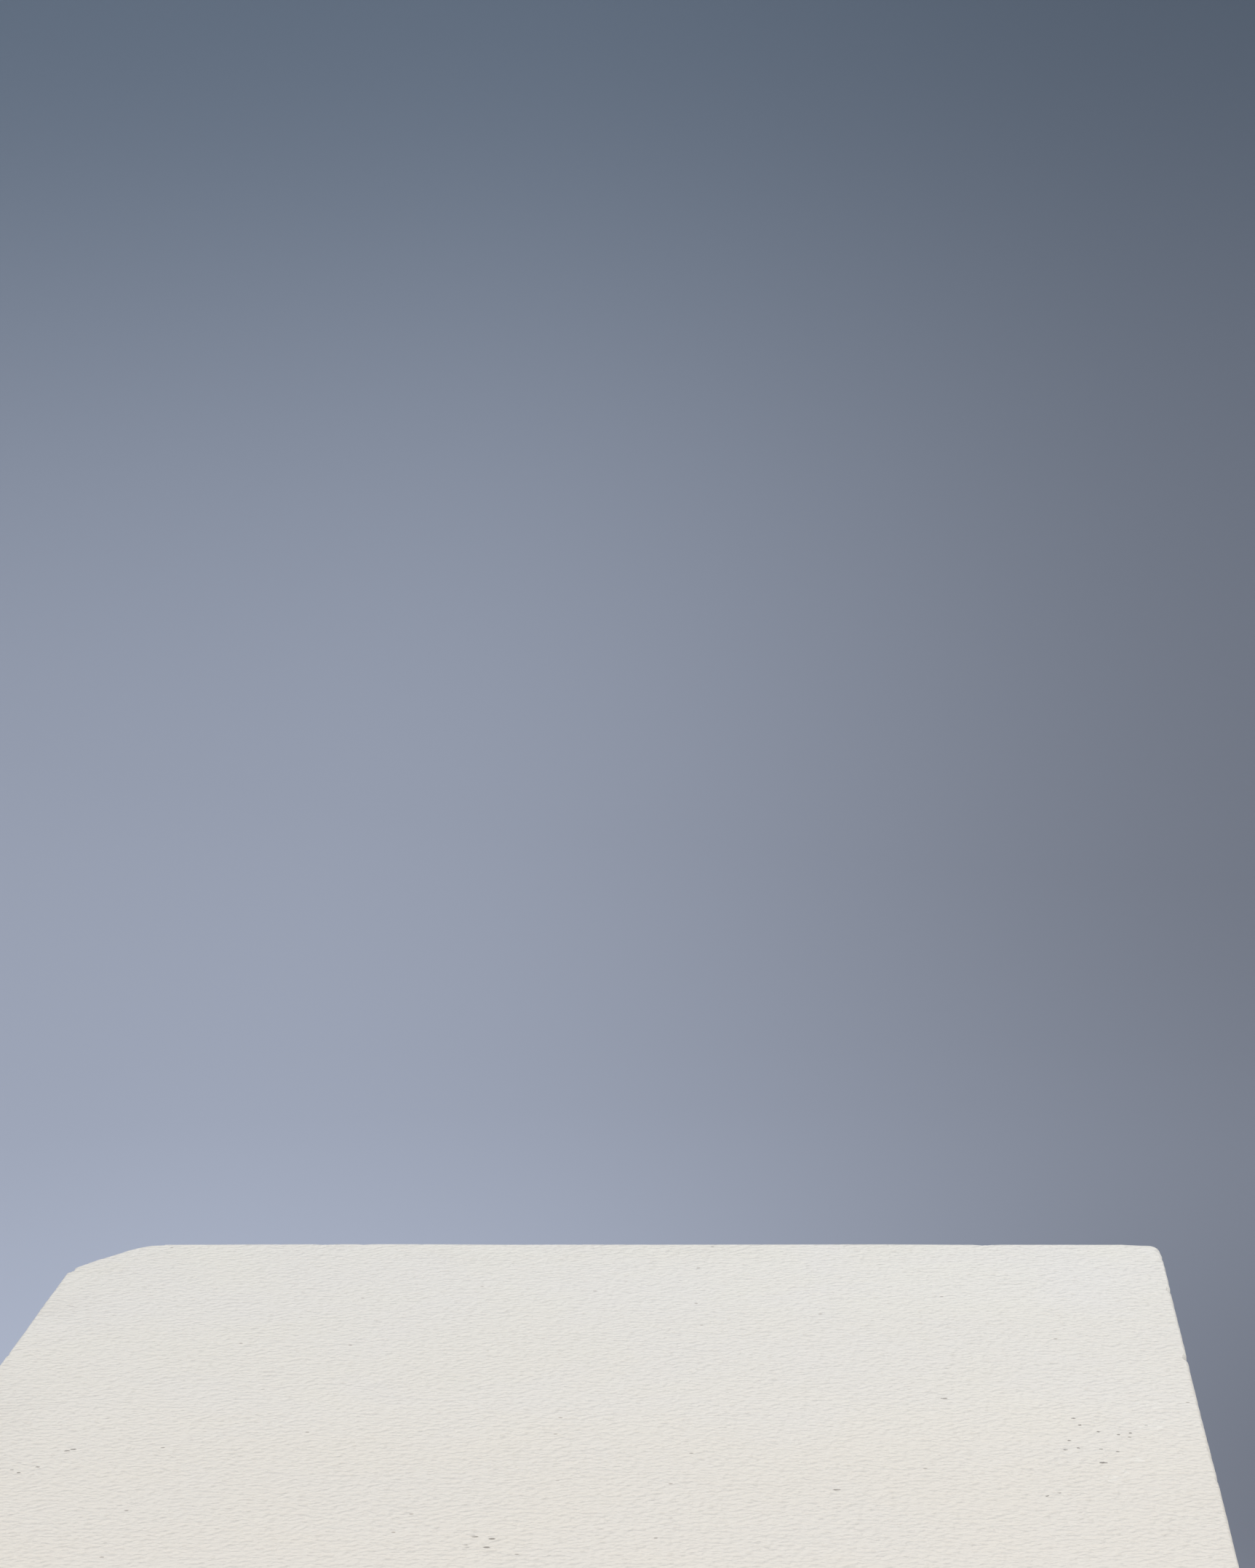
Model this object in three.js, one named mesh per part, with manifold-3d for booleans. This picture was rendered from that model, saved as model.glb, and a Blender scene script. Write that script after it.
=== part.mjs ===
// Display plinth: a white-painted plywood box on a softwood frame, closed on top, open underneath,
// standing on four screw-adjustable levelling feet. Its rear left top corner has been knocked off.
//
// Millimetres, +Z up. The origin is on the floor under the middle of the box.
// -Y is the front and +X the right-hand side.
import * as THREE from "three";
import { mergeVertices } from "three/addons/utils/BufferGeometryUtils.js";
import Module from "manifold-3d";

const wasm = await Module();
wasm.setup();

// ---- Driving dimensions ----

const SIDE = 450; // the box is square in plan
const HEIGHT = 1000; // floor to top face
const BOARD = 18; // plywood of the walls and top
const FLOOR_GAP = 10; // shadow gap under the walls
const GLUE = 0.3; // glue line between touching pieces

const CORNER_RADIUS = 6; // sanded upright corners
const ARRIS = 2; // sanded top edge

const POST = 30; // square corner posts
const RAIL_DEPTH = 20; // rails, measured off the wall
const RAIL_HEIGHT = 30;
const MIDDLE_RAIL_Z = 485; // underside of the middle rails
const BEARER_OFFSET = 75; // top bearers, left and right of the middle

const BLOCK = 60; // foot blocks, square in plan
const BLOCK_HEIGHT = 40;
const BLOCK_Z = 24; // underside of the foot blocks and bottom rails
const FOOT_INSET = 16; // foot axis, from the block's two inner faces

// The knocked corner: the break across the top face, as [x, y] from the box's own corner
const KNOCK = {
  left: [0, -40], // where it starts on the left edge
  lip: [1.5, -33],
  bend: [9, -21.5], // straight up to here, then curving round
  bow: [23, 0], // what the curve is drawn towards
  back: [34, 0], // where it runs out along the back edge
  drop: 78, // how far it runs down the upright edge
};

// Wood screws, countersunk: head and shank radii, then heights
const SCREW = { head: 4, shank: 2, rim: 0.4, cone: 2.6, tip: 5 };
const SCREW_SLACK = 0.35; // round the screws, and round the foot's stem in its nut
const TOP_SCREW_LENGTH = 40;
const TOP_SCREW_SPREAD = 110; // either side of the middle of a rail
const BLOCK_SCREW_LENGTH = 70;

// Levelling feet: an M10 stem with a hexagon for the spanner, whose flanged end turns in the pad
const STEM = { radius: 4.9, top: 73, chamfer: 1.2 };
const HEX = { flats: 14, z: 11.4, height: 5 };
const END = { radius: 4, bottom: 2.6, shoulder: 6.6, neck: 3 };
const END_SLACK = 0.4; // round the stem's end in the pad
const PAD = { radius: 20, bevel: 1, rim: 4, slope: 7, collar: 9.5, neck: 8, top: 11 };

// Tee nuts, pulled down into the foot blocks
const NUT = { flange: 13, flangeHeight: 1.8, barrel: 6, barrelLength: 13 };

// ---- Levels and lines that follow from them ----

const WALL_BOTTOM = FLOOR_GAP;
const TOP_UNDERSIDE = HEIGHT - BOARD;
const WALL_TOP = TOP_UNDERSIDE - GLUE;
const OUTER = SIDE / 2;
const INNER = OUTER - BOARD; // inside face of the walls
const FRAME_OUTER = INNER - GLUE; // where the frame meets the walls
const POST_INNER = FRAME_OUTER - POST;
const RAIL_INNER = FRAME_OUTER - RAIL_DEPTH;
const BLOCK_INNER = FRAME_OUTER - BLOCK;
const BLOCK_TOP = BLOCK_Z + BLOCK_HEIGHT;
const TOP_RAIL_Z = WALL_TOP - RAIL_HEIGHT;
const FOOT_AXIS = BLOCK_INNER + FOOT_INSET;

const SIDES = [
  { name: "front", turn: 0 },
  { name: "right", turn: Math.PI / 2 },
  { name: "back", turn: Math.PI },
  { name: "left", turn: -Math.PI / 2 },
];
const CORNERS = [
  { name: "front_left", x: -1, y: -1 },
  { name: "front_right", x: 1, y: -1 },
  { name: "back_right", x: 1, y: 1 },
  { name: "back_left", x: -1, y: 1 },
];

// ---- Materials ----

const paint = material(0xe2e0d8, 0.75);
const softwood = material(0xd3b183, 0.8);
const beech = material(0xc08f62, 0.7);
const zinc = material(0xb4b6b4, 0.4, 0.9);
const nylon = material(0x2c2d2f, 0.6);

function material(color, roughness, metalness = 0) {
  return new THREE.MeshStandardMaterial({ color, roughness, metalness });
}

// ---- Shapes ----

/** A closed geometry as a manifold-3d solid. */
function solid(geometry) {
  const bare = geometry.clone();
  bare.deleteAttribute("normal");
  bare.deleteAttribute("uv");
  const merged = mergeVertices(bare, 1e-4);
  return new wasm.Manifold(
    new wasm.Mesh({
      numProp: 3,
      vertProperties: new Float32Array(merged.attributes.position.array),
      triVerts: new Uint32Array(merged.index.array),
    }),
  );
}

/** A manifold-3d solid as a geometry. */
function geometryOf(made) {
  const mesh = made.getMesh();
  const geometry = new THREE.BufferGeometry();
  geometry.setAttribute("position", new THREE.BufferAttribute(mesh.vertProperties, 3));
  geometry.setIndex(new THREE.BufferAttribute(mesh.triVerts, 1));
  geometry.computeVertexNormals();
  return geometry;
}

/** geometry without what the cutters take away. */
function cut(geometry, ...cutters) {
  return geometryOf(cutters.reduce((rest, c) => rest.subtract(solid(c)), solid(geometry)));
}

function join(...geometries) {
  return geometryOf(geometries.map(solid).reduce((all, one) => all.add(one)));
}

/** A box between two corners. */
function box([x0, y0, z0], [x1, y1, z1]) {
  const geometry = new THREE.BoxGeometry(x1 - x0, y1 - y0, z1 - z0);
  return geometry.translate((x0 + x1) / 2, (y0 + y1) / 2, (z0 + z1) / 2);
}

/** A plan shape, extruded upwards from z0 to z1. */
function prism(shape, z0, z1, options = {}) {
  const settings = { depth: z1 - z0, bevelEnabled: false, curveSegments: 4, ...options };
  return new THREE.ExtrudeGeometry(shape, settings).translate(0, 0, z0);
}

/** A profile of [radius, height] pairs, turned about Z. */
function turned(profile, segments) {
  const points = profile.map(([r, z]) => new THREE.Vector2(r, z));
  return new THREE.LatheGeometry(points, segments).rotateX(Math.PI / 2);
}

/** A rectangle in plan whose named corners are rounded. */
function plan(x0, y0, x1, y1, radii) {
  const [r0, r1, r2, r3] = radii; // anticlockwise from (x0, y0)
  const shape = new THREE.Shape();
  shape.moveTo(x0 + r0, y0);
  shape.lineTo(x1 - r1, y0);
  if (r1) shape.quadraticCurveTo(x1, y0, x1, y0 + r1);
  shape.lineTo(x1, y1 - r2);
  if (r2) shape.quadraticCurveTo(x1, y1, x1 - r2, y1);
  shape.lineTo(x0 + r3, y1);
  if (r3) shape.quadraticCurveTo(x0, y1, x0, y1 - r3);
  shape.lineTo(x0, y0 + r0);
  if (r0) shape.quadraticCurveTo(x0, y0, x0 + r0, y0);
  return shape;
}

/** A pyramid over a plan outline at height z, coming down to an apex. */
function pyramid(outline, z, apex) {
  const faces = THREE.ShapeUtils.triangulateShape(outline, []);
  const corners = outline.map((p) => new THREE.Vector3(p.x, p.y, z));
  const triangles = faces.map((face) => face.map((i) => corners[i]));
  corners.forEach((corner, i) => {
    triangles.push([corners[(i + 1) % corners.length], corner, apex]);
  });
  return new THREE.BufferGeometry().setFromPoints(triangles.flat());
}

// ---- The knocked corner ----

/** What the knock took away: a wedge that runs out down the upright corner. */
function knockedCorner() {
  const beyond = 2; // clear of the box, so that nothing of its faces is left standing
  const lost = new THREE.Shape();
  lost.moveTo(-beyond, KNOCK.left[1]);
  lost.lineTo(...KNOCK.left);
  lost.lineTo(...KNOCK.lip);
  lost.lineTo(...KNOCK.bend);
  lost.quadraticCurveTo(...KNOCK.bow, ...KNOCK.back);
  lost.lineTo(KNOCK.back[0], beyond);
  lost.lineTo(-beyond, beyond);
  const apex = new THREE.Vector3(-beyond / 4, beyond / 4, -KNOCK.drop);
  return pyramid(lost.getPoints(5), beyond / 2, apex).translate(-OUTER, OUTER, HEIGHT);
}

// ---- Screws ----

/** A countersunk screw pointing up, its head's flat at z = 0, grown by slack all round. */
function screw(length, slack = 0) {
  const { head, shank, rim, cone, tip } = SCREW;
  const profile = [
    [0, -slack],
    [head + slack, -slack],
    [head + slack, rim],
    [shank + slack, cone],
    [shank + slack, length - tip],
    [0, length + slack],
  ];
  return turned(profile, 10);
}

/** Where the screws stand that hold the top down, as [x, y] along the front rail's own side. */
const TOP_SCREW_SPOTS = [-TOP_SCREW_SPREAD, TOP_SCREW_SPREAD].map((x) => [
  x,
  -(FRAME_OUTER + RAIL_INNER) / 2,
]);

/** What the screws take out of the pieces they pass through, on the front rail's side. */
function topScrewHoles() {
  return TOP_SCREW_SPOTS.map(([x, y]) =>
    screw(TOP_SCREW_LENGTH, SCREW_SLACK).translate(x, y, TOP_RAIL_Z),
  );
}

// ---- Skin ----

function topPanel() {
  const deep = BOARD + 3 * ARRIS; // its lower bevel is trimmed away
  const outline = plan(-OUTER, -OUTER, OUTER, OUTER, Array(4).fill(CORNER_RADIUS));
  const slab = prism(outline, HEIGHT - deep, HEIGHT - ARRIS, {
    bevelEnabled: true,
    bevelSize: ARRIS,
    bevelOffset: -ARRIS,
    bevelThickness: ARRIS,
    bevelSegments: 2,
  });
  const below = box([-SIDE, -SIDE, HEIGHT - 2 * deep], [SIDE, SIDE, TOP_UNDERSIDE]);
  const holes = SIDES.flatMap(({ turn }) => topScrewHoles().map((hole) => hole.rotateZ(turn)));
  return cut(slab, below, knockedCorner(), ...holes);
}

function frontPanel() {
  const outline = plan(-OUTER, -OUTER, OUTER, -INNER, [CORNER_RADIUS, CORNER_RADIUS, 0, 0]);
  return prism(outline, WALL_BOTTOM, WALL_TOP);
}

function backPanel() {
  return cut(frontPanel().rotateZ(Math.PI), knockedCorner());
}

function rightPanel() {
  const end = INNER - GLUE;
  return box([INNER, -end, WALL_BOTTOM], [OUTER, end, WALL_TOP]);
}

function leftPanel() {
  return cut(rightPanel().rotateZ(Math.PI), knockedCorner());
}

// ---- Frame, drawn on the front side or at a corner ----

/** A rail along the front wall that ends a glue line short of x = +-reach. */
function rail(z, reach) {
  const end = reach - GLUE;
  return box([-end, -FRAME_OUTER, z], [end, -RAIL_INNER, z + RAIL_HEIGHT]);
}

function topRail() {
  return cut(rail(TOP_RAIL_Z, POST_INNER), ...topScrewHoles());
}

function topBearer() {
  const end = RAIL_INNER - GLUE;
  const half = RAIL_DEPTH / 2;
  return box([-half, -end, TOP_RAIL_Z], [half, end, WALL_TOP]);
}

/** The screw that ties a foot block to its post, at the post's middle. */
function blockScrew(slack) {
  const middle = (FRAME_OUTER + POST_INNER) / 2;
  return screw(BLOCK_SCREW_LENGTH, slack).translate(middle, middle, BLOCK_Z);
}

function cornerPost() {
  const z0 = BLOCK_TOP + GLUE;
  const post = box([POST_INNER, POST_INNER, z0], [FRAME_OUTER, FRAME_OUTER, WALL_TOP]);
  return cut(post, blockScrew(SCREW_SLACK));
}

function footBlock() {
  const block = box([BLOCK_INNER, BLOCK_INNER, BLOCK_Z], [FRAME_OUTER, FRAME_OUTER, BLOCK_TOP]);
  const radius = NUT.barrel + SCREW_SLACK;
  const bore = new THREE.CylinderGeometry(radius, radius, 2 * BLOCK_HEIGHT, 16).rotateX(Math.PI / 2);
  bore.translate(FOOT_AXIS, FOOT_AXIS, (BLOCK_Z + BLOCK_TOP) / 2);
  return cut(block, bore, blockScrew(SCREW_SLACK));
}

// ---- Levelling foot, on its own axis ----

function teeNut() {
  const bore = STEM.radius + SCREW_SLACK;
  const bottom = BLOCK_TOP - NUT.barrelLength;
  const seat = BLOCK_TOP + GLUE;
  const top = seat + NUT.flangeHeight;
  const profile = [
    [bore, bottom],
    [NUT.barrel, bottom],
    [NUT.barrel, seat],
    [NUT.flange, seat],
    [NUT.flange, top],
    [bore, top],
    [bore, bottom],
  ];
  return turned(profile, 16);
}

function footStem() {
  const middle = HEX.z + HEX.height / 2; // the neck widens to the stem inside the hexagon
  const profile = [
    [0, END.bottom],
    [END.radius, END.bottom],
    [END.radius, END.shoulder],
    [END.neck, END.shoulder],
    [END.neck, middle],
    [STEM.radius, middle],
    [STEM.radius, STEM.top - STEM.chamfer],
    [STEM.radius - STEM.chamfer, STEM.top],
    [0, STEM.top],
  ];
  const corner = HEX.flats / 2 / Math.cos(Math.PI / 6);
  const hex = new THREE.CylinderGeometry(corner, corner, HEX.height, 6).rotateX(Math.PI / 2);
  return join(turned(profile, 16), hex.translate(0, 0, middle));
}

function footPad() {
  const pocket = END.radius + END_SLACK;
  const mouth = END.neck + END_SLACK;
  const profile = [
    [0, 0],
    [PAD.radius - PAD.bevel, 0],
    [PAD.radius, PAD.bevel],
    [PAD.radius, PAD.rim],
    [PAD.collar, PAD.slope],
    [PAD.neck, PAD.top],
    [mouth, PAD.top],
    [mouth, END.shoulder + END_SLACK],
    [pocket, END.shoulder + END_SLACK],
    [pocket, END.bottom - END_SLACK],
    [0, END.bottom - END_SLACK],
  ];
  return turned(profile, 24);
}

// ---- Assembly ----

function add(parent, name, geometry, finish) {
  const mesh = new THREE.Mesh(geometry, finish);
  mesh.name = name;
  parent.add(mesh);
  return mesh;
}

function group(parent, place) {
  const made = new THREE.Group();
  place(made);
  parent.add(made);
  return made;
}

const plinth = new THREE.Group();

add(plinth, "top_panel", topPanel(), paint);
add(plinth, "front_panel", frontPanel(), paint);
add(plinth, "back_panel", backPanel(), paint);
add(plinth, "left_panel", leftPanel(), paint);
add(plinth, "right_panel", rightPanel(), paint);

for (const { name, turn } of SIDES) {
  const side = group(plinth, (g) => g.rotateZ(turn));
  add(side, `top_rail_${name}`, topRail(), softwood);
  add(side, `middle_rail_${name}`, rail(MIDDLE_RAIL_Z, POST_INNER), softwood);
  add(side, `bottom_rail_${name}`, rail(BLOCK_Z, BLOCK_INNER), softwood);
  TOP_SCREW_SPOTS.forEach(([x, y], i) => {
    const made = add(side, `top_screw_${name}_${i + 1}`, screw(TOP_SCREW_LENGTH), zinc);
    made.position.set(x, y, TOP_RAIL_Z);
  });
}

for (const [name, x] of [
  ["left", -BEARER_OFFSET],
  ["right", BEARER_OFFSET],
]) {
  add(plinth, `top_bearer_${name}`, topBearer(), softwood).position.x = x;
}

for (const { name, x, y } of CORNERS) {
  // The corner pieces are drawn at the back right corner and turned to the others.
  const quarterTurns = Math.round((Math.atan2(y, x) - Math.PI / 4) / (Math.PI / 2));
  const corner = group(plinth, (g) => g.rotateZ((quarterTurns * Math.PI) / 2));
  add(corner, `corner_post_${name}`, cornerPost(), softwood);
  add(corner, `foot_block_${name}`, footBlock(), beech);
  add(corner, `block_screw_${name}`, blockScrew(0), zinc);

  const foot = group(corner, (g) => g.position.set(FOOT_AXIS, FOOT_AXIS, 0));
  add(foot, `tee_nut_${name}`, teeNut(), zinc);
  add(foot, `foot_stem_${name}`, footStem(), zinc);
  add(foot, `foot_pad_${name}`, footPad(), nylon);
}

export default plinth;
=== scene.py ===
"""A gallery display plinth: painted plywood box, softwood frame and levelling feet.

Everything is in metres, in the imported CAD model's frame: +Z up, the floor at z = 0, -Y the front.
"""

import math
import random

import bpy
import numpy as np
from mathutils import Matrix, Vector, geometry, noise


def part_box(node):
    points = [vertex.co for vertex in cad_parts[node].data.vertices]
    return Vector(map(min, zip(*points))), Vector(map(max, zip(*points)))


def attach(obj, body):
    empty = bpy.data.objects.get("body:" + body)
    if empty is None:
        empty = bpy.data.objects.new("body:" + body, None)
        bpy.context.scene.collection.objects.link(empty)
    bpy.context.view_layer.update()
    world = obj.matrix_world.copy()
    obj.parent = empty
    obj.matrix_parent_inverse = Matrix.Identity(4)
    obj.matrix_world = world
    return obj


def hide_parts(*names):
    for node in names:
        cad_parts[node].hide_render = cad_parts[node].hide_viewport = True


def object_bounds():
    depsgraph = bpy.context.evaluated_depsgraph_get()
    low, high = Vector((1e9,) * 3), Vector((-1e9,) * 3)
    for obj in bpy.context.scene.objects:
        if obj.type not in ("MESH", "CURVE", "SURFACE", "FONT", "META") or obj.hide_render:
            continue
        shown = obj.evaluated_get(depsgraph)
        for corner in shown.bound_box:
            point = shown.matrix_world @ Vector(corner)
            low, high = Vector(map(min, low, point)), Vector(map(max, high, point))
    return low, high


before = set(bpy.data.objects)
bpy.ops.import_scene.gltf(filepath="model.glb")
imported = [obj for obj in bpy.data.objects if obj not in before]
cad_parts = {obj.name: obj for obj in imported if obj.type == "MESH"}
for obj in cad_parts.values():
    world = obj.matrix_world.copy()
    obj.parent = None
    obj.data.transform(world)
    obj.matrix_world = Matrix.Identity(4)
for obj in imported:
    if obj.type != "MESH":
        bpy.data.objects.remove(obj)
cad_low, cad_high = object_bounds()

# ---- Sizes from the frame ----

MM = 0.001
SIDES = ("front", "right", "back", "left")
CORNERS = {"front_left": (-1, -1), "front_right": (1, -1), "back_right": (1, 1), "back_left": (-1, 1)}

HALF = cad_high.x  # half the box's side
TOP = cad_high.z
TOP_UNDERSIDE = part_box("top_panel")[0].z
WALL_BOTTOM, WALL_TOP = (corner.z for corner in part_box("front_panel"))
INNER = -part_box("front_panel")[1].y  # inside face of the walls
SIDE_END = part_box("left_panel")[1].y  # where the side walls stop, short of the back wall

# ---- Sizes of the fine shape ----

CORNER_RADIUS = 6 * MM  # sanded upright corners
ARRIS = 2 * MM  # sanded top edge
SEAM_ARRIS = 0.25 * MM  # where two boards meet
WAVINESS = 0.32 * MM  # of hand-sanded faces near their edges
EDGE_STEP = 1 * MM  # between points along the top panel's edge
TIMBER_ARRIS = 1.2 * MM

# The knocked corner: the break across the top face, in mm from the box's own corner
KNOCK_BACK = (34, 0)  # where it leaves the back edge
KNOCK_BOW = (23, 0)  # draws the first stretch into a curve
KNOCK_BEND = (9, -21.5)
KNOCK_LIP = (1.5, -33)
KNOCK_LEFT = (0, -40)  # where it meets the left edge
KNOCK_DROP = 78 * MM  # how far it runs down the upright edge
KNOCK_REACH = 60 * MM  # the corner is drawn from a point this far in from both faces
KNOCK_SOFTNESS = 0.9 * MM  # how far the paint rounds the break's own edges

PLY_LAYER = 1.4 * MM
PLY_TURN = math.pi / PLY_LAYER  # radians of a sine that makes one hill of every second layer
STIPPLE = 2.3 * MM  # the grain that the roller left in the paint
CHIP = "chip"  # mesh attribute: how deep the paint is knocked in, in mm

THREAD_PITCH = 1.5 * MM
STEM_RADIUS = 4.9 * MM
STEM_CORE = 4.05 * MM
STEM_FLATS = 14 * MM  # across the hexagon
STEM_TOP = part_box("foot_stem_front_left")[1].z
END_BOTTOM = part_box("foot_stem_front_left")[0].z
PAD_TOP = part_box("foot_pad_front_left")[1].z
PAD_RADIUS = (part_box("foot_pad_front_left")[1].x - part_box("foot_pad_front_left")[0].x) / 2
NUT_HOLE = 6.35 * MM  # radius of the bore for the nut's barrel
NUT_BARREL = 6 * MM

SCREW_HOLE = 2.3 * MM  # radius of the hole round a screw
SCREW_SINK = 4.3 * MM  # radius of its countersink
SINK_RIM = 0.6 * MM  # how deep the countersink begins to narrow
SCREW_CORE = 1.3 * MM
SCREW_SHANK = 2 * MM
SCREW_PITCH = 2.2 * MM


# ---- Outlines, in plan and anticlockwise ----


def run(start, end, step):
    """Evenly spaced points from start up to end, without end."""
    start, end = np.array(start, float), np.array(end, float)
    count = max(1, round(np.linalg.norm(end - start) / step))
    return start + (end - start) * (np.arange(count) / count)[:, None]


def ways(angles):
    """Steps of length 1 at the given angles."""
    return np.c_[np.cos(angles), np.sin(angles)]


def all_round(count):
    """Evenly spaced angles, once round."""
    return np.arange(count) * 2 * math.pi / count


def circle(radius, count):
    return radius * ways(all_round(count))


def turn(centre, radius, from_degrees, count):
    """A quarter circle, without its last point."""
    angles = np.radians(from_degrees + 90 * np.arange(count) / count)
    return np.array(centre) + radius * ways(angles)


def rounded(low, high, radius, count, step):
    """A rectangle with rounded corners."""
    (x0, y0), (x1, y1) = np.array(low) + radius, np.array(high) - radius
    centres = np.array([(x0, y0), (x1, y0), (x1, y1), (x0, y1)])
    parts = []
    for i, centre in enumerate(centres):
        out = radius * ways(math.radians(90 * i - 90))[0]
        parts.append(turn(centre, radius, 90 * i + 180, count))
        parts.append(run(centre + out, centres[(i + 1) % 4] + out, step))
    return np.vstack(parts)


def inset(outline, distance):
    """The outline moved inwards, by one distance or by one for each point."""
    along = np.roll(outline, -1, 0) - np.roll(outline, 1, 0)
    outward = np.c_[along[:, 1], -along[:, 0]]
    outward /= np.linalg.norm(outward, axis=1)[:, None]
    return outline - outward * np.broadcast_to(distance, len(outline))[:, None]


def resampled(line, count):
    """A line's points, evenly spaced along it, ends included."""
    lengths = np.r_[0, np.cumsum(np.linalg.norm(np.diff(line, axis=0), axis=1))]
    at = np.linspace(0, lengths[-1], count)
    return np.c_[np.interp(at, lengths, line[:, 0]), np.interp(at, lengths, line[:, 1])]


def ripple(points, size, seed=0):
    """Smooth noise at 3-D points, about -0.5 to 0.5, with hills of the given size."""
    shift = Vector((seed * 7.3, seed * 3.1, seed * 5.7))
    return np.array([noise.noise(Vector(p) / size + shift) for p in points])


def hills(points, size, seed=0):
    """The same noise, from 0 to 1."""
    return np.clip(0.5 + ripple(points, size, seed), 0, 1)


# ---- The knocked corner ----


def break_line():
    """The break across the top face, from the back edge to the left one, in metres from the corner."""
    t = np.linspace(0, 1, 30)[:, None]
    back, bow, bend = (np.array(p, float) for p in (KNOCK_BACK, KNOCK_BOW, KNOCK_BEND))
    curve = (1 - t) ** 2 * back + 2 * t * (1 - t) * bow + t**2 * bend
    return resampled(np.vstack([curve, KNOCK_LIP, KNOCK_LEFT]), 80) * MM


BREAK_LINE = break_line()
BREAK_HUB = np.array([-HALF + KNOCK_REACH, HALF - KNOCK_REACH])


def reach_of_box(angle):
    """How far the sanded box corner is from the hub."""
    way = ways(angle)[0]
    flat = KNOCK_REACH / max(abs(way))
    hit = way * flat
    centre = np.array([-1, 1]) * (KNOCK_REACH - CORNER_RADIUS)
    if hit[0] > centre[0] or hit[1] < centre[1]:
        return flat
    middle = way @ centre
    return middle + math.sqrt(middle**2 - centre @ centre + CORNER_RADIUS**2)


BREAK_ANGLES = np.linspace(math.pi / 2, math.pi, 121)
BREAK_WAYS = ways(BREAK_ANGLES)
BOX_REACH = np.array([reach_of_box(angle) for angle in BREAK_ANGLES])


def knocked_run(z, roughness):
    """The corner's outline at height z, from the back edge round to the left edge."""
    left = 1 - (TOP - z) / KNOCK_DROP
    reach = BOX_REACH
    if left > 0:
        corner = np.array([-KNOCK_REACH, KNOCK_REACH])
        line = corner + BREAK_LINE * left
        angles = np.arctan2(line[:, 1], line[:, 0])
        broken = np.interp(BREAK_ANGLES, angles, np.linalg.norm(line, axis=1), 1, 1)
        spots = at_height(BREAK_HUB + BREAK_WAYS * reach[:, None], z)
        broken = broken - roughness(spots) * min(1, left * 4)
        # a smooth minimum, so that the paint rounds the edges of the break
        h = np.clip(1 - np.abs(reach - broken) / (2 * KNOCK_SOFTNESS), 0, 1)
        reach = np.minimum(reach, broken) - KNOCK_SOFTNESS / 2 * h * h
    return BREAK_HUB + BREAK_WAYS * reach[:, None]


def torn(layers):
    """How rough the break is: torn wood, with plywood layers lying across the given direction."""
    across = np.array(layers, float)

    def roughness(points):
        steps = np.floor(points @ across / PLY_LAYER + 0.35 * ripple(points, 6 * MM, 3))
        ledge = (0.5 + 0.5 * np.sin(steps * 12.9)) * 0.35 * MM
        return ledge + hills(points, 9 * MM, 1) * 0.7 * MM + hills(points, 2.2 * MM, 2) * 0.3 * MM

    return roughness


# ---- Meshes ----


def loft(rings, closed=False):
    """Points and faces of a skin over rings of points, lowest first, with its two ends capped."""
    count = len(rings[0])
    faces = []
    for r in range(len(rings) if closed else len(rings) - 1):
        a, b = r * count, (r + 1) % len(rings) * count
        faces += [(a + i, a + (i + 1) % count, b + (i + 1) % count, b + i) for i in range(count)]
    if not closed:
        last = (len(rings) - 1) * count
        faces.append(tuple(reversed(range(count))))
        faces.append(tuple(range(last, last + count)))
    return np.vstack(rings), faces


def at_height(outline, z):
    return np.c_[outline, np.broadcast_to(z, len(outline))]


def turned(profile, count):
    """Rings of a turned shape from [radius, height] pairs."""
    return [at_height(circle(radius, count), z) for radius, z in profile]


def make(name, points, faces, materials, choose=None, crease=35, chips=None):
    """A mesh object. choose gives each face's material from its normal and middle."""
    mesh = bpy.data.meshes.new(name)
    mesh.from_pydata([tuple(p) for p in points], [], faces)
    if chips is not None:
        mesh.attributes.new(CHIP, "FLOAT", "POINT").data.foreach_set("value", chips)
    for material in materials:
        mesh.materials.append(material)
    if choose:
        for face in mesh.polygons:
            face.material_index = choose(face.normal, face.center)
    mesh.shade_smooth()
    mesh.set_sharp_from_angle(angle=math.radians(crease))
    made = bpy.data.objects.new(name, mesh)
    bpy.context.scene.collection.objects.link(made)
    return made


def flat_normals(made):
    """Lets big flat faces keep their own normals, so that rounded edges don't shade them."""
    modifier = made.modifiers.new("flat_normals", "WEIGHTED_NORMAL")
    modifier.keep_sharp = True
    modifier.weight = 90


def carve(made, *cutters):
    """Cuts the cutters away from a piece and deletes them."""
    for cutter in cutters:
        modifier = made.modifiers.new("cut", "BOOLEAN")
        modifier.operation = "DIFFERENCE"
        modifier.object = cutter
        modifier.solver = "EXACT"
    depsgraph = bpy.context.evaluated_depsgraph_get()
    cut = bpy.data.meshes.new_from_object(made.evaluated_get(depsgraph))
    made.modifiers.clear()
    made.data = cut
    for cutter in cutters:
        bpy.data.objects.remove(cutter)


def stand_in(made, node, body):
    """The piece rides with a body in place of the CAD node."""
    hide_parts(node)
    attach(made, body)


# ---- Wear on edges ----


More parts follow.
